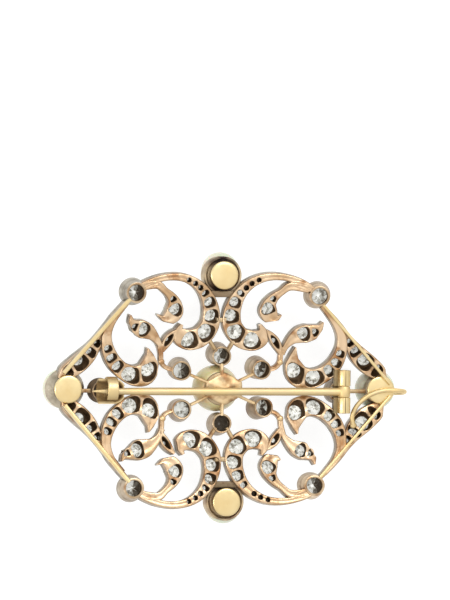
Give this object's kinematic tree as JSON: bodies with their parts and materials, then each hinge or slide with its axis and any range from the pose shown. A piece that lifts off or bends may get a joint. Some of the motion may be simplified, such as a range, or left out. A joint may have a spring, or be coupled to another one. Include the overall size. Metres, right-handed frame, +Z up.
{
  "type": "brooch",
  "caption": "Pierced antique brooch of scrolls and leaves: stones in open settings, pearls on its face, a hinged pin and a hooked catch on its back.",
  "frame": {"origin": "middle of the base of the bounding box, on the surface under the four outer pearls", "axes": "+X along the pin towards its hinge, +Y towards the top cup, +Z up, out of the back of the brooch"},
  "size_m": [0.0457, 0.0336, 0.0079],
  "materials": {
    "rose_gold": "hand-finished rose gold, silver on the face",
    "pale_gold": "polished",
    "pearl": "pearly",
    "diamond": "faceted"
  },
  "bodies": {
    "brooch": {"openwork": "rose_gold", "hinge_rivet": "pale_gold", "pearl_left": "pearl", "pearl_right": "pearl", "pearl_top": "pearl", "pearl_bottom": "pearl", "pearl_centre": "pearl", "corner_stone_1": "diamond", "corner_stone_2": "diamond", "corner_stone_3": "diamond", "corner_stone_4": "diamond", "inner_stone_1": "diamond", "inner_stone_2": "diamond", "inner_stone_3": "diamond", "inner_stone_4": "diamond", "inner_stone_5": "diamond", "inner_stone_6": "diamond", "end_stone_left": "diamond", "end_stone_right": "diamond", "main_stone_1_1": "diamond", "main_stone_1_2": "diamond", "main_stone_1_3": "diamond", "main_stone_1_4": "diamond", "main_stone_1_5": "diamond", "main_stone_1_6": "diamond", "main_stone_2_1": "diamond", "main_stone_2_2": "diamond", "main_stone_2_3": "diamond", "main_stone_2_4": "diamond", "main_stone_2_5": "diamond", "main_stone_2_6": "diamond", "main_stone_3_1": "diamond", "main_stone_3_2": "diamond", "main_stone_3_3": "diamond", "main_stone_3_4": "diamond", "main_stone_3_5": "diamond", "main_stone_3_6": "diamond", "main_stone_4_1": "diamond", "main_stone_4_2": "diamond", "main_stone_4_3": "diamond", "main_stone_4_4": "diamond", "main_stone_4_5": "diamond", "main_stone_4_6": "diamond", "small_stones_1": "diamond", "small_stones_2": "diamond", "small_stones_3": "diamond", "small_stones_4": "diamond"},
    "pin": {"pin_stem": "pale_gold"}
  },
  "joints": [
    {"name": "pin_hinge", "type": "hinge", "parent": "brooch", "child": "pin", "pos_m": [0.01445, -0.00033, 0.0064], "axis": [0, 1, 0], "range_deg": [0, 75]}
  ]
}
